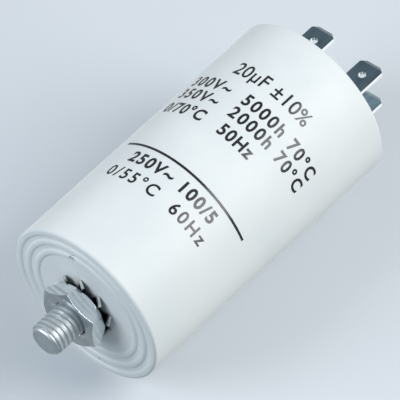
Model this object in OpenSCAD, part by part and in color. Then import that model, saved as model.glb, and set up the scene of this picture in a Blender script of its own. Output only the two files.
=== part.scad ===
// Motor run capacitor in a round plastic can, with a mounting stud below and blade terminals above.
// Millimetres. The base rim lies on the plane z = 0, the axis is Z, and the blades are parallel to X.

/* [Can] */
// Outside diameter of the can
can_diameter = 40; // [37:0.5:50]
// Height of the can from the base rim to the mouth
can_height = 72.5; // [60:0.5:120]
// Thickness of the can wall
can_wall = 1.5; // [1.2:0.1:2.5]
// Thickness of the can floor, measured from the base rim
can_floor = 4; // [3.6:0.1:6]
// Rounding of the outer edge at the base and at the mouth
can_edge_round = 0.6; // [0.3:0.1:0.8]

/* [Base rings] */
// Number of raised rings on the base inside the rim
ring_count = 2; // [1:1:2]
// Distance of the rim's middle from the side of the can
rim_inset = 1; // [0.9:0.05:1.5]
// Distance from the rim to the first ring and from one ring to the next
ring_pitch = 2.55; // [2.1:0.05:3]
// Height of the rim and the rings above the base between them
ring_height = 0.35; // [0.15:0.05:0.4]
// Width of a ring at its foot
ring_width = 1.75; // [1.2:0.05:2]
// Width of the flat top of a ring
ring_land = 0.5; // [0.2:0.05:0.8]

/* [Mounting stud] */
// Diameter of the stud over its thread
stud_diameter = 8; // [6:0.5:9]
// Length of the stud below the base rim
stud_reach = 12.8; // [9:0.1:25]
// Chamfer at the end of the stud
stud_chamfer = 0.8; // [0.3:0.1:1.2]
// Diameter of the stud's head inside the floor
stud_head_diameter = 14; // [12:0.5:20]
// Thickness of the stud's head
stud_head_thickness = 2.2; // [1.5:0.1:2.4]

/* [Nut and washer] */
// Width of the nut across its flats
nut_width = 14; // [13:0.5:17]
// Height of the nut
nut_height = 3.9; // [3.4:0.1:5]
// Slope of the chamfer on the nut's free face
nut_chamfer_angle = 30; // [20:1:35]
// Slope of the chamfer on the nut's face at the washer
nut_seat_chamfer_angle = 62; // [30:1:64]
// Turn of the nut about the stud
nut_turn = 35.5; // [0:0.5:60]
// Distance by which the washer's teeth reach past the nut's flats
washer_overhang = 0.8; // [0.1:0.1:1.2]
// Thickness of the washer's sheet
washer_thickness = 0.6; // [0.4:0.05:0.9]
// Width of the washer's plain ring
washer_ring = 1.5; // [1.2:0.1:2]
// Number of teeth on the washer
tooth_count = 9; // [6:1:9]
// Width of each tooth
tooth_width = 2.3; // [1.8:0.1:2.8]
// Twist of each tooth out of the washer's plane
tooth_twist = 30; // [15:1:35]
// Turn of the washer about the stud
washer_turn = 37; // [0:1:60]
// Gap between the stud's thread and the nut and washer
thread_clearance = 0.1; // [0.05:0.01:0.2]
// Gap where the washer seats on the base and the nut on the washer
seat_gap = 0.05; // [0.01:0.01:0.2]

/* [Lid] */
// Thickness of the lid
lid_thickness = 2.5; // [2:0.1:4]
// Depth of the lid's top below the mouth of the can
lid_recess = 1; // [0.5:0.1:3]

/* [Terminals] */
// Width of each blade
blade_width = 6.3; // [5.5:0.1:6.5]
// Thickness of the terminal strip
blade_thickness = 0.8; // [0.5:0.1:1]
// Height of the blade tips above the lid
blade_reach = 13.2; // [10:0.1:16]
// Distance between the middles of the two terminals
terminal_pitch = 13.8; // [12.5:0.1:18]
// Distance between the two blades of one terminal
blade_spacing = 10.9; // [9.5:0.1:14]
// Turn of the terminals' layout against the blades
layout_turn = 9.5; // [0:0.5:12]
// Width of the cut corner at a blade's tip
corner_cut_width = 1.3; // [0.5:0.05:1.8]
// Height of the cut corner at a blade's tip
corner_cut_height = 1.05; // [0.5:0.05:1.8]
// Diameter of the hole in each blade
blade_hole_diameter = 1.8; // [1:0.1:2.4]
// Distance of the hole from the tip
blade_hole_drop = 3.9; // [2.8:0.1:5]
// Depth of the bevel on each face at a blade's tip
tip_bevel_depth = 0.2; // [0.05:0.05:0.2]
// Height of the bevel at a blade's tip
tip_bevel_height = 0.7; // [0.3:0.1:1]
// Inner radius of the strip's bends
bend_radius = 0.6; // [0.4:0.1:1.2]
// Amount by which the foot is narrower than the blades on each side
foot_margin = 0.4; // [0.2:0.1:1]
// Length of full-width strip between each bend and the foot
toe_length = 0.8; // [0.4:0.1:1.2]

/* [Rivets] */
// Diameter of a rivet's shank
rivet_shank_diameter = 3; // [2:0.1:3.5]
// Diameter of a rivet's heads
rivet_head_diameter = 5.2; // [4.6:0.1:6]
// Height of a rivet's head at each end
rivet_head_height = 0.8; // [0.5:0.1:1.2]

/* [Winding] */
// Thickness of resin between the winding and the can wall
winding_margin = 2; // [1:0.1:3]
// Height of the winding pack above the floor of the can
winding_lift = 4; // [3.4:0.1:6]
// Depth of the winding pack below the lid
winding_drop = 4.4; // [4.2:0.1:8]
// Thickness of the sprayed contact layer on each end
spray_thickness = 0.8; // [0.4:0.1:1.2]
// Bore of the tube that carries the winding
core_bore = 6; // [4:0.1:6.5]
// Wall of the tube that carries the winding
core_wall = 1; // [0.6:0.1:1.2]

/* [Leads] */
// Width of the lead strips
lead_width = 2; // [1:0.1:2.4]
// Thickness of the lead strips
lead_thickness = 0.5; // [0.3:0.05:0.8]
// Diameter of the solder at a lead's end
solder_diameter = 2.8; // [2.6:0.1:3.2]
// Height of the solder at a lead's end
solder_height = 0.6; // [0.3:0.1:0.7]

/* [Hidden] */
$fn = 96;
// Overlap that lets a cut pass through a surface
pass = 1;

can_radius = can_diameter / 2;
cavity_radius = can_radius - can_wall;
rim_radius = can_radius - rim_inset;
ring_radii = [for (i = [0 : ring_count]) rim_radius - i * ring_pitch];
ring_centre_z = (pow(ring_width / 2, 2) - pow(ring_land / 2, 2) + pow(ring_height, 2)) / (2 * ring_height);
ring_round = sqrt(pow(ring_land / 2, 2) + pow(ring_centre_z, 2));
seat_z = ring_height;

stud_radius = stud_diameter / 2;
bore_radius = stud_radius + thread_clearance;
stud_head_radius = stud_head_diameter / 2;

washer_radius = nut_width / 2 + washer_overhang;
washer_ring_radius = bore_radius + washer_ring;
washer_half_height = tooth_width / 2 * sin(tooth_twist) + washer_thickness / 2 * cos(tooth_twist);
washer_z = seat_z - seat_gap - washer_half_height;
nut_top_z = washer_z - washer_half_height - seat_gap;
nut_corner_radius = nut_width / 2 / cos(30);
nut_chamfer_height = (nut_corner_radius - nut_width / 2) * tan(nut_chamfer_angle);
nut_seat_chamfer_height = (nut_corner_radius - nut_width / 2) * tan(nut_seat_chamfer_angle);

lid_top_z = can_height - lid_recess;
lid_bottom_z = lid_top_z - lid_thickness;
blade_tip_z = lid_top_z + blade_reach;
bend_outer = bend_radius + blade_thickness;
bend_z = lid_top_z + bend_outer;
terminal_x = terminal_pitch / 2 * cos(layout_turn);
terminal_y = terminal_pitch / 2 * sin(layout_turn);
blade_shift_x = blade_spacing / 2 * sin(layout_turn);
blade_shift_y = blade_spacing / 2 * cos(layout_turn);
foot_end_y = blade_shift_y - blade_thickness / 2 - bend_radius;

rivet_shank_radius = rivet_shank_diameter / 2;
rivet_head_radius = rivet_head_diameter / 2;
rivet_top_z = lid_top_z + blade_thickness + rivet_head_height;
rivet_bottom_z = lid_bottom_z - rivet_head_height;

winding_radius = cavity_radius - winding_margin;
core_bore_radius = core_bore / 2;
core_radius = core_bore_radius + core_wall;
pack_bottom_z = can_floor + winding_lift;
pack_top_z = lid_bottom_z - winding_drop;
film_bottom_z = pack_bottom_z + spray_thickness;
film_top_z = pack_top_z - spray_thickness;

solder_radius = solder_diameter / 2;
top_run_z = (rivet_bottom_z + pack_top_z) / 2;
bottom_run_z = (can_floor + pack_bottom_z - solder_height) / 2;
bottom_joint_x = (core_radius + winding_radius) / 2;

// Half section of the can's outside, rounded at the base and at the mouth
module can_outline() {
    square([can_radius - can_edge_round, can_height]);
    translate([0, can_edge_round])
        square([can_radius, can_height - 2 * can_edge_round]);
    for (z = [can_edge_round, can_height - can_edge_round])
        translate([can_radius - can_edge_round, z])
            circle(can_edge_round);
}

// Half section of the hollow in the base, with the rim and the rings left standing as rounded ridges
module base_recess_outline() {
    difference() {
        translate([0, -pass])
            square([rim_radius, seat_z + pass]);
        for (r = ring_radii)
            translate([r, ring_centre_z])
                circle(ring_round);
    }
}

module can() {
    color("#eef2f5")
        difference() {
            rotate_extrude()
                can_outline();
            rotate_extrude()
                base_recess_outline();
            translate([0, 0, can_floor])
                cylinder(h = can_height, r = cavity_radius);
            translate([0, 0, can_floor - stud_head_thickness])
                cylinder(h = stud_head_thickness + pass, r = stud_head_radius);
            translate([0, 0, -pass])
                cylinder(h = can_floor + pass, r = stud_radius);
        }
}

module mounting_stud() {
    color("#c9ccce") {
        translate([0, 0, can_floor - stud_head_thickness])
            cylinder(h = stud_head_thickness, r = stud_head_radius);
        translate([0, 0, stud_chamfer - stud_reach])
            cylinder(h = stud_reach - stud_chamfer + can_floor - stud_head_thickness, r = stud_radius);
        translate([0, 0, -stud_reach])
            cylinder(h = stud_chamfer, r1 = stud_radius - stud_chamfer, r2 = stud_radius);
    }
}

// One tooth: a plate on the washer's edge, twisted about its own radius
module washer_tooth() {
    rotate([-tooth_twist, 0, 0])
        translate([bore_radius + washer_ring / 2, -tooth_width / 2, -washer_thickness / 2])
            cube([washer_radius, tooth_width, washer_thickness]);
}

module lock_washer() {
    color("#b9bcbd")
        translate([0, 0, washer_z])
            rotate([0, 0, washer_turn])
                difference() {
                    union() {
                        cylinder(h = washer_thickness, r = washer_ring_radius, center = true);
                        intersection() {
                            for (i = [0 : tooth_count - 1])
                                rotate([0, 0, i * 360 / tooth_count])
                                    washer_tooth();
                            cylinder(h = washer_radius, r = washer_radius, center = true);
                        }
                    }
                    cylinder(h = washer_radius, r = bore_radius, center = true);
                }
}

// Half section that rounds off the nut's corners at both ends
module nut_chamfer_outline() {
    polygon([
        [0, 0],
        [nut_width / 2, 0],
        [nut_corner_radius, nut_chamfer_height],
        [nut_corner_radius, nut_height - nut_seat_chamfer_height],
        [nut_width / 2, nut_height],
        [0, nut_height]
    ]);
}

module hex_nut() {
    color("#c4c8ca")
        translate([0, 0, nut_top_z - nut_height])
            difference() {
                intersection() {
                    rotate([0, 0, nut_turn])
                        cylinder(h = nut_height, r = nut_corner_radius, $fn = 6);
                    rotate_extrude()
                        nut_chamfer_outline();
                }
                translate([0, 0, -pass])
                    cylinder(h = nut_height + 2 * pass, r = bore_radius);
                for (z = [0, nut_height])
                    translate([0, 0, z])
                        mirror([0, 0, z == 0 ? 0 : 1])
                            cylinder(h = stud_chamfer, r1 = bore_radius + stud_chamfer, r2 = bore_radius);
            }
}

module lid() {
    color("#e4e6e2")
        difference() {
            translate([0, 0, lid_bottom_z])
                cylinder(h = lid_thickness, r = cavity_radius);
            for (side = [-1, 1])
                translate([side * terminal_x, side * terminal_y, lid_bottom_z - pass])
                    cylinder(h = lid_thickness + 2 * pass, r = rivet_shank_radius);
        }
}

// Outline of one blade from the bend up, drawn in its own plane
module blade_outline() {
    half = blade_width / 2;
    difference() {
        polygon([
            [-half, bend_z],
            [half, bend_z],
            [half, blade_tip_z - corner_cut_height],
            [half - corner_cut_width, blade_tip_z],
            [corner_cut_width - half, blade_tip_z],
            [-half, blade_tip_z - corner_cut_height]
        ]);
        translate([0, blade_tip_z - blade_hole_drop])
            circle(blade_hole_diameter / 2);
    }
}

// Section of one blade through its thickness, thinned at the tip
module blade_section() {
    half = blade_thickness / 2;
    polygon([
        [-half, bend_z],
        [half, bend_z],
        [half, blade_tip_z - tip_bevel_height],
        [half - tip_bevel_depth, blade_tip_z],
        [tip_bevel_depth - half, blade_tip_z],
        [-half, blade_tip_z - tip_bevel_height]
    ]);
}

// Section of the bend under a blade, with the toe that runs to the foot
module bend_section() {
    difference() {
        intersection() {
            circle(bend_outer);
            translate([-2 * bend_outer, -2 * bend_outer])
                square(2 * bend_outer);
        }
        circle(bend_radius);
    }
    translate([0, -bend_outer])
        square([toe_length, blade_thickness]);
}

// One blade standing on its bend, with the foot on the side of +Y
module blade() {
    intersection() {
        rotate([90, 0, 0])
            linear_extrude(height = blade_thickness, center = true)
                blade_outline();
        rotate([90, 0, 90])
            linear_extrude(height = blade_width, center = true)
                blade_section();
    }
    translate([0, blade_thickness / 2 + bend_radius, bend_z])
        rotate([90, 0, 90])
            linear_extrude(height = blade_width, center = true)
                bend_section();
}

// One terminal: a foot on the lid with a blade bent up at each end
module terminal() {
    half = blade_width / 2 - foot_margin;
    foot_points = [
        [blade_shift_x - half, -foot_end_y],
        [blade_shift_x + half, -foot_end_y],
        [half - blade_shift_x, foot_end_y],
        [-half - blade_shift_x, foot_end_y]
    ];
    translate([blade_shift_x, -blade_shift_y, 0])
        blade();
    translate([-blade_shift_x, blade_shift_y, 0])
        rotate([0, 0, 180])
            blade();
    translate([0, 0, lid_top_z])
        linear_extrude(height = blade_thickness)
            difference() {
                polygon(foot_points);
                circle(rivet_shank_radius);
            }
}

module terminal_left() {
    color("#8d979c")
        translate([-terminal_x, -terminal_y, 0])
            terminal();
}

module terminal_right() {
    color("#8d979c")
        translate([terminal_x, terminal_y, 0])
            terminal();
}

module terminal_rivets() {
    color("#a9adad")
        for (side = [-1, 1])
            translate([side * terminal_x, side * terminal_y, rivet_bottom_z]) {
                cylinder(h = rivet_top_z - rivet_bottom_z, r = rivet_shank_radius);
                cylinder(h = rivet_head_height, r = rivet_head_radius);
                translate([0, 0, rivet_top_z - rivet_bottom_z - rivet_head_height])
                    cylinder(h = rivet_head_height, r = rivet_head_radius);
            }
}

// A ring round the core tube, from one height to another
module pack_ring(bottom, top) {
    translate([0, 0, bottom])
        difference() {
            cylinder(h = top - bottom, r = winding_radius);
            translate([0, 0, -pass])
                cylinder(h = top - bottom + 2 * pass, r = core_radius);
        }
}

module film_winding() {
    color("#c7cbc9")
        pack_ring(film_bottom_z, film_top_z);
}

module core_tube() {
    color("#d8d2c4")
        translate([0, 0, pack_bottom_z])
            difference() {
                cylinder(h = pack_top_z - pack_bottom_z, r = core_radius);
                translate([0, 0, -pass])
                    cylinder(h = pack_top_z - pack_bottom_z + 2 * pass, r = core_bore_radius);
            }
}

module end_spray_top() {
    color("#8b9092")
        pack_ring(film_top_z, pack_top_z);
}

module end_spray_bottom() {
    color("#8b9092")
        pack_ring(pack_bottom_z, film_bottom_z);
}

// A lead strip standing in the plane of the two rivets, from its outline in that plane
module lead_strip() {
    rotate([0, 0, layout_turn])
        rotate([90, 0, 0])
            linear_extrude(height = lead_width, center = true)
                children();
}

// A length of the strip's outline along Z
module lead_rise(x, bottom, top) {
    translate([x - lead_thickness / 2, bottom])
        square([lead_thickness, top - bottom]);
}

// A length of the strip's outline along X
module lead_run(z, start, end) {
    translate([start - lead_thickness / 2, z - lead_thickness / 2])
        square([end - start + lead_thickness, lead_thickness]);
}

// The solder round a lead's end
module solder(x, bottom) {
    rotate([0, 0, layout_turn])
        translate([x, 0, bottom])
            cylinder(h = solder_height, r = solder_radius);
}

module lead_short() {
    color("#b3763f") {
        lead_strip()
            lead_rise(terminal_pitch / 2, pack_top_z, rivet_bottom_z);
        solder(terminal_pitch / 2, pack_top_z);
    }
}

module lead_long() {
    lead_half = lead_thickness / 2;
    color("#b3763f") {
        lead_strip() {
            lead_rise(-terminal_pitch / 2, top_run_z - lead_half, rivet_bottom_z);
            lead_run(top_run_z, -terminal_pitch / 2, 0);
            lead_rise(0, bottom_run_z - lead_half, top_run_z + lead_half);
            lead_run(bottom_run_z, 0, bottom_joint_x);
            lead_rise(bottom_joint_x, bottom_run_z - lead_half, pack_bottom_z);
        }
        solder(bottom_joint_x, pack_bottom_z - solder_height);
    }
}

module resin_fill() {
    color("#cdbf9a")
        difference() {
            translate([0, 0, can_floor])
                cylinder(h = lid_bottom_z - can_floor, r = cavity_radius);
            translate([0, 0, pack_bottom_z])
                difference() {
                    cylinder(h = pack_top_z - pack_bottom_z, r = winding_radius);
                    translate([0, 0, -pass])
                        cylinder(h = pack_top_z - pack_bottom_z + 2 * pass, r = core_bore_radius);
                }
            terminal_rivets();
            lead_short();
            lead_long();
        }
}

can();
mounting_stud();
lock_washer();
hex_nut();
lid();
terminal_left();
terminal_right();
terminal_rivets();
film_winding();
core_tube();
end_spray_top();
end_spray_bottom();
lead_short();
lead_long();
resin_fill();
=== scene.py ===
import math

import bpy
from mathutils import Matrix, Vector


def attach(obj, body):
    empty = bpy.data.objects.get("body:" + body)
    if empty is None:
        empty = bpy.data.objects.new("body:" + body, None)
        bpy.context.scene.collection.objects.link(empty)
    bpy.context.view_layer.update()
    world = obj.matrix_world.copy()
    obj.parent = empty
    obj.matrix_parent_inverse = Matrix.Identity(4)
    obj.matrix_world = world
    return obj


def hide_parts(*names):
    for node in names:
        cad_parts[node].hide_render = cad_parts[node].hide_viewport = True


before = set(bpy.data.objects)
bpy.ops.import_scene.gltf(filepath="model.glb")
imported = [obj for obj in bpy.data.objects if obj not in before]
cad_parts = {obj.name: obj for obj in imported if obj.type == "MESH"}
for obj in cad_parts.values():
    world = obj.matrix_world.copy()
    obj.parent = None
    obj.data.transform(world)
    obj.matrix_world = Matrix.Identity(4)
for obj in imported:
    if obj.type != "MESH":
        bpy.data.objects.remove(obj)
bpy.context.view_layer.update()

MM = 0.001

# Sizes shared with the solids, in millimetres
CAN_RADIUS = 20.0
CAN_FLOOR = 4.0
BASE_SEAT_Z = 0.35
BLADE_FOOT_TOP = 75.0
STUD_RADIUS = 4.0
STUD_REACH = 12.8
STUD_CHAMFER = 0.8
STUD_HEAD_RADIUS = 7.0
STUD_HEAD_THICKNESS = 2.2

# Scuffs on the base, as place and reach in millimetres, and the share of the reach that is torn most
SCUFFS = ((-1.3, -14.25, 0.25, 1.6), (1.0, 17.3, 0.15, 1.3))
SCUFF_CORE = 0.4
SCUFF_LIFT = 0.12

# Distances from the axis between which painted shade gives way to plain metal, in the thread's root and
# on the washer under the nut, in millimetres
ROOT_SHADE_FULL = 3.5
ROOT_SHADE_END = 3.97
WASHER_SHADE_FULL = 6.9
WASHER_SHADE_END = 7.7

# Rounding of the nut's edges and half the width of the change from dull to fresh blades, in millimetres
NUT_EDGE_ROUND = 0.2
BEVEL_SAMPLES = 8
FRESH_FADE = 2.0

# Polish of the blades' sheared edges
SHEARED_ROUGHNESS = 0.12

# The drawn turns of film: millimetres for each radian of the wave texture, which has 20 to a unit
FILM_RADIAN = 0.4
WAVE_RADIANS = 20.0

# Sockets of the Mix node, for colours and for plain values
MIX_FACTOR, MIX_FIRST, MIX_SECOND, MIX_RESULT = 0, 6, 7, 2
VALUE_FIRST, VALUE_SECOND, VALUE_RESULT = 2, 3, 0

# The cut thread, a coarse metric one with a rolled seam along its crest, in millimetres and degrees
THREAD_PITCH = 1.25
THREAD_DEPTH = 0.5
THREAD_CREST = 0.4
THREAD_FLANK = 30.0
THREAD_STEPS = 64
SEAM_WIDTH = 0.22
SEAM_DEPTH = 0.18
RIDGE_SINK = 0.15
RIDGE_PROUD = 0.04

# How far the stud's turned pieces run past and into each other, in millimetres
CORE_OVERRUN = 0.5
CORE_TOP = 1.2
BLANK_TOP = 1.0
SHANK_LAP = 0.2
SKIN_GAP = 0.005
END_SLICE = 0.1

# The rating print: words, lowest and highest edge in millimetres, first and last angle seen from
# the camera in degrees, weight and letter spacing
PRINT_LINES = (
    ("20µF ±10%", 56.1, 59.6, -50.7, 9.7, 0.010, 1.04),
    ("300V~  5000h 70°C", 50.3, 53.3, -74.6, 38.4, 0.028, 1.27),
    ("350V~  2000h 70°C", 46.1, 49.1, -74.6, 38.4, 0.028, 1.27),
    ("0/70°C   50Hz", 41.2, 44.2, -74.6, 1.4, 0.028, 1.17),
    ("250V~ 100/5", 24.8, 27.8, -56.0, 15.0, 0.033, 1.22),
    ("0/55°C  60Hz", 19.7, 22.7, -62.0, 20.6, 0.018, 1.3),
)
# The rule: lowest and highest edge, first and last angle
RULE_LINE = (29.5, 30.1, -71.6, 38.0)
# Height of a capital in the font's own units
CAP_HEIGHT = 0.70
# Angle of the print's middle round the can in degrees, and its slices and layer in millimetres
PRINT_MIDDLE = -54.5
PRINT_SLICE = 0.5
PRINT_LIFT = 0.01
PRINT_THICKNESS = 0.02

# Edges turned by less than this many degrees are shaded smooth, and points closer than this many
# millimetres are merged
SMOOTH_ANGLE = 28.0
MERGE_DISTANCE = 0.0005

# The camera of the photograph: degrees, millimetres, and metres for what it clips
CAMERA_AZIMUTH = 35.5
CAMERA_ELEVATION = -25.343
CAMERA_ROLL = 47.647
CAMERA_DISTANCE = 1660.0
CAMERA_LENS = 702.0
CAMERA_SENSOR = 36.0
CAMERA_AIM_Z = 36.29
CAMERA_CLIP = (0.05, 20.0)

# The soft boxes: name, direction from the object, distance and width in metres, watts, colour
LAMPS = (
    ("key_lamp", (0.719, -0.552, 0.423), 0.6, 0.4, 2.25, "#ffffff"),
    ("fill_lamp", (-0.349433, -0.562112, -0.747146), 0.7, 0.4, 2.6, "#f0f6ff"),
    ("back_lamp", (-0.6, 0.7, 0.5), 0.7, 0.5, 0.9, "#ffffff"),
    ("edge_lamp", (0.45, 0.78, 0.445), 0.7, 0.3, 0.167, "#ffffff"),
)

# The soft light all round: its strength, and the heights of direction between which it brightens
SKY_STRENGTH = 0.62
SKY_LOW = -0.7
SKY_HIGH = 0.6

# The stage: width of its boards in metres, way the backdrop faces, and its gap to the can in millimetres
BOARD_WIDTH = 6.0
BACKDROP_FACING = (0.162683, -0.986678, 0.0)
BACKDROP_GAP = 1.0


def linear(colour):
    """An sRGB hex colour as linear RGBA."""
    channels = [int(colour[i : i + 2], 16) / 255 for i in (1, 3, 5)]
    rgb = [c / 12.92 if c <= 0.04045 else ((c + 0.055) / 1.055) ** 2.4 for c in channels]
    return (*rgb, 1.0)


def add_node(tree, kind, sockets=None, **settings):
    """Adds a node with its settings, and links or sets its sockets."""
    node = tree.nodes.new(kind)
    for name, value in settings.items():
        setattr(node, name, value)
    for key, value in (sockets or {}).items():
        if isinstance(value, bpy.types.NodeSocket):
            tree.links.new(value, node.inputs[key])
        else:
            node.inputs[key].default_value = value
    return node


def start_material(name, **constants):
    """A material with its tree, its shader with constants set, and its texture coordinates."""
    material = bpy.data.materials.new(name)
    material.use_nodes = True
    tree = material.node_tree
    shader = tree.nodes["Principled BSDF"]
    for key, value in constants.items():
        shader.inputs[key].default_value = value
    coords = add_node(tree, "ShaderNodeTexCoord")
    return material, tree, shader, coords.outputs


def join_up(tree, shader, links):
    """Links outputs to the shader's sockets by name."""
    for name, output in links.items():
        tree.links.new(output, shader.inputs[name])


def per_mm(size):
    """The texture scale that gives features of this many millimetres."""
    return 1.0 / (size * MM)


def mottled_colour(tree, coords, patch, first, second):
    """A colour that drifts between two hex colours in patches of a size in millimetres."""
    patches = add_node(tree, "ShaderNodeTexNoise",
                       {"Vector": coords, "Scale": per_mm(patch), "Detail": 3.0})
    spread = add_node(tree, "ShaderNodeMapRange",
                      {"Value": patches.outputs[0], "From Min": 0.35, "From Max": 0.65})
    mix = add_node(tree, "ShaderNodeMix",
                   {MIX_FACTOR: spread.outputs[0], MIX_FIRST: linear(first),
                    MIX_SECOND: linear(second)}, data_type="RGBA")
    return mix.outputs[MIX_RESULT]


def varied_roughness(tree, coords, patch, low, high):
    """A roughness that drifts between two values in patches of a size in millimetres."""
    patches = add_node(tree, "ShaderNodeTexNoise",
                       {"Vector": coords, "Scale": per_mm(patch), "Detail": 4.0})
    spread = add_node(tree, "ShaderNodeMapRange",
                      {"Value": patches.outputs[0], "From Min": 0.3, "From Max": 0.7,
                       "To Min": low, "To Max": high})
    return spread.outputs[0]


def fine_bump(tree, coords, grain, depth, rounding=0.0):
    """A bump from grain of a size and depth, on edges rounded by a radius, all in millimetres."""
    noise = add_node(tree, "ShaderNodeTexNoise",
                     {"Vector": coords, "Scale": per_mm(grain), "Detail": 2.0})
    bump = add_node(tree, "ShaderNodeBump",
                    {"Strength": 1.0, "Distance": depth * MM, "Height": noise.outputs[0]})
    if rounding:
        worn = add_node(tree, "ShaderNodeBevel", {"Radius": rounding * MM}, samples=BEVEL_SAMPLES)
        tree.links.new(worn.outputs[0], bump.inputs["Normal"])
    return bump.outputs[0]


def axis_distance(tree, coords):
    """The distance from the axis of the can."""
    place = add_node(tree, "ShaderNodeSeparateXYZ", {"Vector": coords})
    flat = add_node(tree, "ShaderNodeCombineXYZ",
                    {"X": place.outputs["X"], "Y": place.outputs["Y"]})
    length = add_node(tree, "ShaderNodeVectorMath", {0: flat.outputs[0]}, operation="LENGTH")
    return length.outputs["Value"]


# Injection-moulded polypropylene: a clean cool white with a soft sheen, very faint flow marks,
# and two small scuffs on the base where it was knocked
def moulded_white_polypropylene():
    material, tree, shader, coords = start_material("moulded_white_polypropylene", IOR=1.49)
    coords = coords["Object"]
    white = mottled_colour(tree, coords, patch=14.0, first="#f2f5f4", second="#ebf0f0")
    scuffs = None
    for x, y, z, reach in SCUFFS:
        away = add_node(tree, "ShaderNodeVectorMath", {0: coords, 1: Vector((x, y, z)) * MM},
                        operation="DISTANCE")
        near = add_node(tree, "ShaderNodeMapRange",
                        {"Value": away.outputs["Value"], "From Min": reach * MM,
                         "From Max": SCUFF_CORE * reach * MM})
        scuffs = near.outputs[0] if scuffs is None else add_node(
            tree, "ShaderNodeMath", {0: scuffs, 1: near.outputs[0]}, operation="MAXIMUM").outputs[0]
    ragged = add_node(tree, "ShaderNodeTexNoise",
                      {"Vector": coords, "Scale": per_mm(0.5), "Detail": 3.0})
    torn = add_node(tree, "ShaderNodeMapRange",
                    {"Value": ragged.outputs[0], "From Min": 0.52, "From Max": 0.6})
    torn = add_node(tree, "ShaderNodeMath", {0: torn.outputs[0], 1: scuffs}, operation="MULTIPLY")
    scuffed = add_node(tree, "ShaderNodeMix",
                       {MIX_FACTOR: torn.outputs[0], MIX_FIRST: white,
                        MIX_SECOND: linear("#8b97a3")}, data_type="RGBA")
    lifted = add_node(tree, "ShaderNodeBump",
                      {"Strength": 1.0, "Distance": SCUFF_LIFT * MM, "Height": torn.outputs[0],
                       "Normal": fine_bump(tree, coords, grain=0.6, depth=0.004)})
    join_up(tree, shader, {
        "Base Color": scuffed.outputs[MIX_RESULT],
        "Roughness": varied_roughness(tree, coords, patch=6.0, low=0.46, high=0.54),
        "Normal": lifted.outputs[0],
    })
    return material


# Moulded lid plastic: a slightly warmer and duller white than the can, with a fine spark-eroded grain
def moulded_lid_plastic():
    material, tree, shader, coords = start_material("moulded_lid_plastic", IOR=1.5)
    coords = coords["Object"]
    join_up(tree, shader, {
        "Base Color": mottled_colour(tree, coords, patch=5.0, first="#e3e6e4", second="#d9dcd9"),
        "Roughness": varied_roughness(tree, coords, patch=3.0, low=0.45, high=0.58),
        "Normal": fine_bump(tree, coords, grain=0.35, depth=0.012),
    })
    return material


# Bright zinc plate on turned steel: a clear cool mirror broken by faint clouding and turning marks,
# with edges that tumbling has rounded, so that they catch the light
def bright_zinc_plate():
    material, tree, shader, coords = start_material("bright_zinc_plate", Metallic=1.0)
    coords = coords["Object"]
    join_up(tree, shader, {
        "Base Color": mottled_colour(tree, coords, patch=3.0, first="#f2f4f4", second="#e4e9eb"),
        "Roughness": varied_roughness(tree, coords, patch=2.5, low=0.03, high=0.07),
        "Normal": fine_bump(tree, coords, grain=0.8, depth=0.001, rounding=NUT_EDGE_ROUND),
    })
    return material


# Zinc plate on a rolled thread: satin, because the rolling leaves fine lines round the stud,
# with painted shade in the root of the thread that draws each turn as a dark line
def rolled_thread_zinc():
    material, tree, shader, coords = start_material("rolled_thread_zinc", Metallic=1.0)
    coords = coords["Object"]
    rolled = add_node(tree, "ShaderNodeMapping", {"Vector": coords, "Scale": (0.2, 0.2, 1.0)})
    plate = mottled_colour(tree, coords, patch=2.0, first="#eff3f4", second="#e3e8ea")
    place = add_node(tree, "ShaderNodeSeparateXYZ", {"Vector": coords})
    # Painted shade: a darker colour in the thread's root, below the crest's radius, but not on the
    # chamfered end
    inside = add_node(tree, "ShaderNodeMapRange",
                      {"Value": axis_distance(tree, coords), "From Min": ROOT_SHADE_END * MM,
                       "From Max": ROOT_SHADE_FULL * MM})
    past_end = add_node(tree, "ShaderNodeMapRange",
                        {"Value": place.outputs["Z"], "From Min": -STUD_REACH * MM,
                         "From Max": (STUD_CHAMFER - STUD_REACH) * MM})
    root_shade = add_node(tree, "ShaderNodeMath", {0: inside.outputs[0], 1: past_end.outputs[0]},
                    operation="MULTIPLY")
    painted_shade = add_node(tree, "ShaderNodeMix",
                     {MIX_FACTOR: root_shade.outputs[0], MIX_FIRST: plate,
                      MIX_SECOND: linear("#cbd1d4")}, data_type="RGBA")
    join_up(tree, shader, {
        "Base Color": painted_shade.outputs[MIX_RESULT],
        "Roughness": varied_roughness(tree, coords, patch=1.5, low=0.42, high=0.52),
        "Normal": fine_bump(tree, rolled.outputs[0], grain=0.15, depth=0.004),
    })
    return material


# Zinc-plated spring steel: stamped sheet, more clouded than the nut, its ring darkened with painted shade
# under the nut
def stamped_spring_steel():
    material, tree, shader, coords = start_material("stamped_spring_steel", Metallic=1.0)
    coords = coords["Object"]
    # Painted shade: the washer's ring under the nut turns near-black towards the axis
    unshaded = add_node(tree, "ShaderNodeMapRange",
                     {"Value": axis_distance(tree, coords), "From Min": WASHER_SHADE_FULL * MM,
                      "From Max": WASHER_SHADE_END * MM})
    steel = mottled_colour(tree, coords, patch=1.6, first="#eceeec", second="#d3d8da")
    painted_shade = add_node(tree, "ShaderNodeMix",
                     {MIX_FACTOR: unshaded.outputs[0], MIX_FIRST: linear("#2c3033"),
                      MIX_SECOND: steel}, data_type="RGBA")
    join_up(tree, shader, {
        "Base Color": painted_shade.outputs[MIX_RESULT],
        "Roughness": varied_roughness(tree, coords, patch=1.0, low=0.28, high=0.4),
        "Normal": fine_bump(tree, coords, grain=0.4, depth=0.003),
    })
    return material


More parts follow.
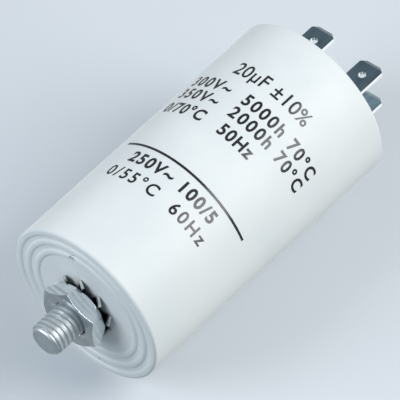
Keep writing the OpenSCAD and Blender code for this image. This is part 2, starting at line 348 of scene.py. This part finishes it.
# Tinned brass strip: dull grey faces with faint rolling lines along the blade, less tarnished on the
# blades away from the print, and bright sheared edges
def tinned_brass_strip():
    material, tree, shader, coords = start_material("tinned_brass_strip", Metallic=1.0)
    facing = add_node(tree, "ShaderNodeSeparateXYZ", {"Vector": coords["Normal"]})
    coords = coords["Object"]
    place = add_node(tree, "ShaderNodeSeparateXYZ", {"Vector": coords})
    sideways = add_node(tree, "ShaderNodeMath", {0: facing.outputs["X"]}, operation="ABSOLUTE")
    blade = add_node(tree, "ShaderNodeMath", {0: place.outputs["Z"], 1: BLADE_FOOT_TOP * MM},
                     operation="GREATER_THAN")
    upright = add_node(tree, "ShaderNodeMath", {0: facing.outputs["Z"]}, operation="ABSOLUTE")
    upright = add_node(tree, "ShaderNodeMath", {0: upright.outputs[0], 1: blade.outputs[0]},
                       operation="MULTIPLY")
    edge = add_node(tree, "ShaderNodeMath", {0: sideways.outputs[0], 1: upright.outputs[0]},
                    operation="MAXIMUM")
    sheared = add_node(tree, "ShaderNodeMapRange",
                       {"Value": edge.outputs[0], "From Min": 0.15, "From Max": 0.5})
    rolling = add_node(tree, "ShaderNodeMapping", {"Vector": coords, "Scale": (1.0, 1.0, 0.35)})
    rolling = rolling.outputs[0]
    tarnished = mottled_colour(tree, rolling, patch=1.6, first="#6f838f", second="#5f727e")
    fresh = mottled_colour(tree, rolling, patch=1.6, first="#99b3c2", second="#839dad")
    behind = add_node(tree, "ShaderNodeMapRange",
                      {"Value": place.outputs["Y"], "From Min": -FRESH_FADE * MM,
                       "From Max": FRESH_FADE * MM})
    dull = add_node(tree, "ShaderNodeMix",
                    {MIX_FACTOR: behind.outputs[0], MIX_FIRST: tarnished, MIX_SECOND: fresh},
                    data_type="RGBA")
    bright = add_node(tree, "ShaderNodeMix",
                      {MIX_FACTOR: sheared.outputs[0], MIX_FIRST: dull.outputs[MIX_RESULT],
                       MIX_SECOND: linear("#eef1f3")}, data_type="RGBA")
    satin = varied_roughness(tree, coords, patch=1.8, low=0.3, high=0.42)
    polish = add_node(tree, "ShaderNodeMix",
                      {MIX_FACTOR: sheared.outputs[0], VALUE_FIRST: satin,
                       VALUE_SECOND: SHEARED_ROUGHNESS}, data_type="FLOAT")
    join_up(tree, shader, {
        "Base Color": bright.outputs[MIX_RESULT],
        "Roughness": polish.outputs[VALUE_RESULT],
        "Normal": fine_bump(tree, rolling, grain=0.4, depth=0.003),
    })
    return material


# Nickel-plated brass rivets: warm bright metal, lightly scuffed where the heads were set
def plated_rivet_brass():
    material, tree, shader, coords = start_material("plated_rivet_brass", Metallic=1.0)
    coords = coords["Object"]
    join_up(tree, shader, {
        "Base Color": mottled_colour(tree, coords, patch=1.2, first="#c2bfb6", second="#aeaca6"),
        "Roughness": varied_roughness(tree, coords, patch=0.8, low=0.22, high=0.4),
        "Normal": fine_bump(tree, coords, grain=0.3, depth=0.005),
    })
    return material


# Metallised film wound into a roll: satin silver with the edges of the turns as fine lines.
# The real turns are a few microns apart and are drawn 2.5 mm apart so that they show
def wound_metallised_film():
    material, tree, shader, coords = start_material("wound_metallised_film", Metallic=0.8)
    coords = coords["Object"]
    turns = add_node(tree, "ShaderNodeTexWave",
                     {"Vector": coords, "Scale": per_mm(FILM_RADIAN) / WAVE_RADIANS,
                      "Distortion": 0.4, "Detail": 1.0},
                     wave_type="RINGS", rings_direction="Z")
    silver = add_node(tree, "ShaderNodeMix",
                      {MIX_FACTOR: turns.outputs["Fac"], MIX_FIRST: linear("#c9cdcc"),
                       MIX_SECOND: linear("#a9aeae")}, data_type="RGBA")
    join_up(tree, shader, {
        "Base Color": silver.outputs[MIX_RESULT],
        "Roughness": varied_roughness(tree, coords, patch=2.0, low=0.3, high=0.42),
    })
    return material


# Extruded core tube: natural cloudy plastic
def extruded_core_plastic():
    material, tree, shader, coords = start_material("extruded_core_plastic")
    coords = coords["Object"]
    join_up(tree, shader, {
        "Base Color": mottled_colour(tree, coords, patch=3.0, first="#ded9cb", second="#cfc9ba"),
        "Roughness": varied_roughness(tree, coords, patch=2.0, low=0.4, high=0.52),
    })
    return material


# Flame-sprayed zinc: matt grey metal built up from droplets
def sprayed_zinc():
    material, tree, shader, coords = start_material("sprayed_zinc", Metallic=0.7)
    coords = coords["Object"]
    join_up(tree, shader, {
        "Base Color": mottled_colour(tree, coords, patch=0.5, first="#979c9e", second="#7c8285"),
        "Roughness": varied_roughness(tree, coords, patch=0.6, low=0.6, high=0.8),
        "Normal": fine_bump(tree, coords, grain=0.25, depth=0.05),
    })
    return material


# Tinned copper strip: silvery with the copper showing through where it was bent
def tinned_copper_strip():
    material, tree, shader, coords = start_material("tinned_copper_strip", Metallic=1.0)
    coords = coords["Object"]
    join_up(tree, shader, {
        "Base Color": mottled_colour(tree, coords, patch=2.5, first="#c3b6a8", second="#b98a63"),
        "Roughness": varied_roughness(tree, coords, patch=1.0, low=0.28, high=0.4),
    })
    return material


# Cast potting resin: dull amber, slightly cloudy
def cast_potting_resin():
    material, tree, shader, coords = start_material("cast_potting_resin")
    coords = coords["Object"]
    join_up(tree, shader, {
        "Base Color": mottled_colour(tree, coords, patch=6.0, first="#cdbf9a", second="#bdae87"),
        "Roughness": varied_roughness(tree, coords, patch=4.0, low=0.3, high=0.45),
    })
    return material


# Pad-printed ink: blue-black and glossier than the can, so that it turns grey where the light
# glances off it
def pad_printed_ink():
    material, tree, shader, coords = start_material("pad_printed_ink", IOR=1.6)
    coords = coords["Object"]
    join_up(tree, shader, {
        "Base Color": mottled_colour(tree, coords, patch=0.8, first="#0a0c12", second="#14171f"),
        "Roughness": varied_roughness(tree, coords, patch=1.5, low=0.2, high=0.28),
    })
    return material


# Matt board of the stage: a pale cool grey with no sheen, which shows only from its front
def pale_stage_board():
    material, tree, shader, coords = start_material("pale_stage_board", Roughness=0.9)
    colour = mottled_colour(tree, coords["Object"], patch=60.0, first="#e0e4e8", second="#dce1e6")
    join_up(tree, shader, {"Base Color": colour})
    clear = add_node(tree, "ShaderNodeBsdfTransparent")
    side = add_node(tree, "ShaderNodeNewGeometry")
    mix = add_node(tree, "ShaderNodeMixShader",
                   {0: side.outputs["Backfacing"], 1: shader.outputs[0], 2: clear.outputs[0]})
    tree.links.new(mix.outputs[0], tree.nodes["Material Output"].inputs["Surface"])
    return material


def deselect():
    """Leaves edit mode with nothing selected."""
    if bpy.context.object and bpy.context.object.mode != "OBJECT":
        bpy.ops.object.mode_set(mode="OBJECT")
    bpy.ops.object.select_all(action="DESELECT")


def take(piece):
    """Makes a piece the only one selected."""
    deselect()
    piece.select_set(True)
    bpy.context.view_layer.objects.active = piece


def apply_modifier(piece, name, kind, **settings):
    """Adds a modifier to a piece and applies it."""
    take(piece)
    modifier = piece.modifiers.new(name, kind)
    for key, value in settings.items():
        setattr(modifier, key, value)
    bpy.ops.object.modifier_apply(modifier=modifier.name)


def cut_with(piece, tool, operation):
    """A boolean of a piece with a tool, which is then removed."""
    apply_modifier(piece, operation.lower(), "BOOLEAN", object=tool, operation=operation,
                   solver="EXACT")
    bpy.data.objects.remove(tool)


def settle(piece):
    """Applies a piece's place to its mesh, merges its doubles and turns its faces outwards."""
    take(piece)
    bpy.ops.object.transform_apply(location=True, rotation=True, scale=True)
    bpy.ops.object.mode_set(mode="EDIT")
    bpy.ops.mesh.select_all(action="SELECT")
    bpy.ops.mesh.remove_doubles(threshold=MERGE_DISTANCE * MM)
    bpy.ops.mesh.normals_make_consistent(inside=False)
    bpy.ops.object.mode_set(mode="OBJECT")


def turned_blank(name, radius, bottom, top):
    """A cylinder on the axis, in millimetres."""
    deselect()
    bpy.ops.mesh.primitive_cylinder_add(
        vertices=THREAD_STEPS, radius=radius * MM, depth=(top - bottom) * MM,
        location=(0, 0, (top + bottom) / 2 * MM))
    blank = bpy.context.object
    blank.name = name
    settle(blank)
    return blank


def thread_ridge(bottom, top):
    """The thread as a ridge wound round the axis, its foot sunk below the root."""
    half_crest = THREAD_CREST / 2
    half_foot = half_crest + THREAD_DEPTH * math.tan(math.radians(THREAD_FLANK))
    half_seam = SEAM_WIDTH / 2
    turns = math.ceil((top - bottom) / THREAD_PITCH)
    start = top - half_foot - turns * THREAD_PITCH
    inner = STUD_RADIUS - THREAD_DEPTH - RIDGE_SINK
    outer = STUD_RADIUS + RIDGE_PROUD
    section = (
        (inner, -half_foot),
        (outer, -half_crest),
        (outer, -half_seam),
        (STUD_RADIUS - SEAM_DEPTH, 0.0),
        (outer, half_seam),
        (outer, half_crest),
        (inner, half_foot),
    )
    deselect()
    bpy.ops.mesh.primitive_circle_add(vertices=len(section), radius=MM)
    ridge = bpy.context.object
    for vertex, (radius, rise) in zip(ridge.data.vertices, section):
        vertex.co = Vector((radius, 0, start + rise)) * MM
    apply_modifier(ridge, "screw", "SCREW", axis="Z", angle=math.tau,
                   screw_offset=THREAD_PITCH * MM, iterations=turns, steps=THREAD_STEPS,
                   render_steps=THREAD_STEPS, use_merge_vertices=False)
    bpy.ops.object.mode_set(mode="EDIT")
    bpy.ops.mesh.select_all(action="SELECT")
    bpy.ops.mesh.fill_holes(sides=0)
    bpy.ops.object.mode_set(mode="OBJECT")
    settle(ridge)
    return ridge


def chamfer_end(blank):
    """Bevels the lower edge of a turned blank to the stud's chamfer."""
    take(blank)
    bpy.ops.object.mode_set(mode="EDIT")
    bpy.ops.mesh.select_all(action="DESELECT")
    bpy.ops.object.mode_set(mode="OBJECT")
    vertices = blank.data.vertices
    for edge in blank.data.edges:
        edge.select = all(vertices[v].co.z < (END_SLICE - STUD_REACH) * MM for v in edge.vertices)
    bpy.ops.object.mode_set(mode="EDIT")
    bpy.ops.mesh.select_mode(type="EDGE")
    bpy.ops.mesh.bevel(offset=STUD_CHAMFER * MM, segments=1, affect="EDGES")
    bpy.ops.object.mode_set(mode="OBJECT")


def threaded_stud():
    """The stud with its cut thread, a chamfered end and its head in the floor."""
    head_bottom = CAN_FLOOR - STUD_HEAD_THICKNESS
    stud = turned_blank("threaded_stud", STUD_RADIUS - THREAD_DEPTH,
                        -STUD_REACH - CORE_OVERRUN, CORE_TOP)
    cut_with(stud, thread_ridge(-STUD_REACH - 2 * THREAD_PITCH, BASE_SEAT_Z), "UNION")
    blank = turned_blank("stud_blank", STUD_RADIUS, -STUD_REACH, BLANK_TOP)
    chamfer_end(blank)
    cut_with(stud, blank, "INTERSECT")
    shank = turned_blank("stud_shank", STUD_RADIUS - SKIN_GAP,
                         BASE_SEAT_Z + SHANK_LAP, head_bottom + SHANK_LAP)
    cut_with(stud, shank, "UNION")
    head = turned_blank("stud_head", STUD_HEAD_RADIUS - SKIN_GAP, head_bottom, CAN_FLOOR)
    cut_with(stud, head, "UNION")
    settle(stud)
    bpy.ops.object.shade_smooth_by_angle(angle=math.radians(SMOOTH_ANGLE))
    return stud


def on_can(x, z, lift):
    """The point of the can's side at an arc length from the middle of the print, in millimetres."""
    angle = math.radians(PRINT_MIDDLE) + x / CAN_RADIUS
    radius = CAN_RADIUS + lift
    return Vector((radius * math.cos(angle), radius * math.sin(angle), z)) * MM


def arc(angle):
    """The arc length on the can for an angle seen from the camera."""
    return math.radians(angle) * CAN_RADIUS


def slice_upright(piece, start, end):
    """Cuts a flat piece into narrow upright slices so that it can follow the can."""
    take(piece)
    bpy.ops.object.mode_set(mode="EDIT")
    place = start + PRINT_SLICE
    while place < end:
        bpy.ops.mesh.select_all(action="SELECT")
        bpy.ops.mesh.bisect(plane_co=(place, 0, 0), plane_no=(1, 0, 0))
        place += PRINT_SLICE
    bpy.ops.object.mode_set(mode="OBJECT")


def printed_words(words, bottom, top, first, last, weight, spacing):
    """One line of words, drawn flat in millimetres at its place on the unrolled side."""
    deselect()
    bpy.ops.object.text_add()
    line = bpy.context.object
    line.data.body = words
    line.data.offset = weight
    line.data.space_character = spacing
    bpy.ops.object.convert(target="MESH")
    line = bpy.context.object
    xs = [v.co.x for v in line.data.vertices]
    low = min(xs)
    start, end = arc(first), arc(last)
    stretch = (end - start) / (max(xs) - low)
    tall = (top - bottom) / CAP_HEIGHT
    for vertex in line.data.vertices:
        x, y = vertex.co.x, vertex.co.y
        vertex.co = Vector((start + (x - low) * stretch, bottom + y * tall, 0))
    slice_upright(line, start, end)
    return line


def printed_rule():
    """The thin rule under the middle of the print, drawn flat in millimetres."""
    bottom, top, first, last = RULE_LINE
    start, end = arc(first), arc(last)
    deselect()
    bpy.ops.mesh.primitive_plane_add(size=1.0)
    rule = bpy.context.object
    for vertex in rule.data.vertices:
        x, y = vertex.co.x, vertex.co.y
        vertex.co = Vector((start if x < 0 else end, bottom if y < 0 else top, 0))
    slice_upright(rule, start, end)
    return rule


def rating_print():
    """All the print on the can's side as one thin layer of ink."""
    lines = [printed_words(*line) for line in PRINT_LINES] + [printed_rule()]
    deselect()
    for line in lines:
        line.select_set(True)
    bpy.context.view_layer.objects.active = lines[0]
    bpy.ops.object.join()
    ink = bpy.context.object
    ink.name = "rating_print"
    for vertex in ink.data.vertices:
        vertex.co = on_can(vertex.co.x, vertex.co.y, PRINT_LIFT)
    settle(ink)
    for polygon in ink.data.polygons:
        outwards = Vector((polygon.center.x, polygon.center.y, 0))
        if polygon.normal.dot(outwards) < 0:
            polygon.flip()
    apply_modifier(ink, "layer", "SOLIDIFY", thickness=PRINT_THICKNESS * MM, offset=1.0)
    bpy.ops.object.shade_smooth_by_angle(angle=math.radians(SMOOTH_ANGLE))
    return ink


def dress(piece, material):
    """Gives a CAD node or a new piece its finish."""
    piece.data.materials.clear()
    piece.data.materials.append(material)


def finish_piece(piece, material):
    """Gives a new piece its finish and lets it ride on the object."""
    dress(piece, material)
    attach(piece, "root")


zinc = bright_zinc_plate()
spray = sprayed_zinc()
brass = tinned_brass_strip()
copper = tinned_copper_strip()
finishes = {
    "can": moulded_white_polypropylene(),
    "mounting_stud": zinc,
    "lock_washer": stamped_spring_steel(),
    "hex_nut": zinc,
    "lid": moulded_lid_plastic(),
    "terminal_left": brass,
    "terminal_right": brass,
    "terminal_rivets": plated_rivet_brass(),
    "film_winding": wound_metallised_film(),
    "core_tube": extruded_core_plastic(),
    "end_spray_top": spray,
    "end_spray_bottom": spray,
    "lead_short": copper,
    "lead_long": copper,
    "resin_fill": cast_potting_resin(),
}
for name, finish in finishes.items():
    dress(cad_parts[name], finish)

stud = threaded_stud()
finish_piece(stud, rolled_thread_zinc())
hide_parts("mounting_stud")

ink = rating_print()
finish_piece(ink, pad_printed_ink())


def camera_axes():
    """The camera's right, up and back directions."""
    angles = (CAMERA_AZIMUTH, CAMERA_ELEVATION, CAMERA_ROLL)
    azimuth, elevation, roll = (math.radians(a) for a in angles)
    back = Vector((math.sin(azimuth) * math.cos(elevation),
                   -math.cos(azimuth) * math.cos(elevation), math.sin(elevation)))
    level = Vector((math.cos(azimuth), math.sin(azimuth), 0))
    upright = back.cross(level)
    right = math.cos(roll) * level + math.sin(roll) * upright
    up = math.cos(roll) * upright - math.sin(roll) * level
    return right, up, back


def photograph_camera():
    """The camera at the photograph's viewing angle."""
    right, up, back = camera_axes()
    data = bpy.data.cameras.new("camera")
    data.sensor_width = CAMERA_SENSOR
    data.lens = CAMERA_LENS
    data.clip_start, data.clip_end = CAMERA_CLIP
    camera = bpy.data.objects.new("camera", data)
    bpy.context.scene.collection.objects.link(camera)
    place = Vector((0, 0, CAMERA_AIM_Z)) * MM + back * CAMERA_DISTANCE * MM
    turn = Matrix((right, up, back)).transposed().to_4x4()
    camera.matrix_world = Matrix.Translation(place) @ turn
    bpy.context.scene.camera = camera


def stage_board(name, centre, facing, material):
    """A flat board of the stage, which takes the object's shadow and gives nothing back to it."""
    deselect()
    bpy.ops.mesh.primitive_plane_add(size=BOARD_WIDTH)
    board = bpy.context.object
    board.name = name
    turn = facing.to_track_quat("Z", "Y").to_matrix().to_4x4()
    board.matrix_world = Matrix.Translation(centre) @ turn
    board.data.materials.append(material)
    board.visible_diffuse = False
    board.visible_glossy = False
    board.visible_transmission = False
    board.visible_shadow = False


def soft_lamp(name, direction, distance, width, power, colour):
    """A square soft box that looks at the middle of the object."""
    data = bpy.data.lights.new(name, "AREA")
    data.shape = "SQUARE"
    data.size = width
    data.energy = power
    data.color = linear(colour)[:3]
    lamp = bpy.data.objects.new(name, data)
    bpy.context.scene.collection.objects.link(lamp)
    direction = Vector(direction).normalized()
    lamp.location = Vector((0, 0, CAMERA_AIM_Z * MM)) + direction * distance
    lamp.rotation_mode = "QUATERNION"
    lamp.rotation_quaternion = direction.to_track_quat("Z", "Y")


def soft_sky():
    """A pale gradient all round, brighter above."""
    world = bpy.data.worlds.new("studio")
    bpy.context.scene.world = world
    world.use_nodes = True
    tree = world.node_tree
    coords = add_node(tree, "ShaderNodeTexCoord")
    height = add_node(tree, "ShaderNodeSeparateXYZ", {"Vector": coords.outputs["Generated"]})
    level = add_node(tree, "ShaderNodeMapRange",
                     {"Value": height.outputs["Z"], "From Min": SKY_LOW, "From Max": SKY_HIGH},
                     interpolation_type="SMOOTHSTEP")
    mix = add_node(tree, "ShaderNodeMix",
                   {MIX_FACTOR: level.outputs[0], MIX_FIRST: linear("#9caab4"),
                    MIX_SECOND: linear("#e8eef1")}, data_type="RGBA")
    background = tree.nodes["Background"]
    tree.links.new(mix.outputs[MIX_RESULT], background.inputs["Color"])
    background.inputs["Strength"].default_value = SKY_STRENGTH


def studio():
    """Plain soft studio: a pale gradient all round, four soft boxes and two pale boards."""
    soft_sky()
    for lamp in LAMPS:
        soft_lamp(*lamp)
    board = pale_stage_board()
    stage_board("floor", Vector((0, 0, -STUD_REACH * MM)), Vector((0, 0, 1)), board)
    facing = Vector(BACKDROP_FACING)
    stage_board("backdrop", -facing * (CAN_RADIUS + BACKDROP_GAP) * MM, facing, board)


photograph_camera()
studio()
bpy.context.scene.view_settings.view_transform = "Standard"
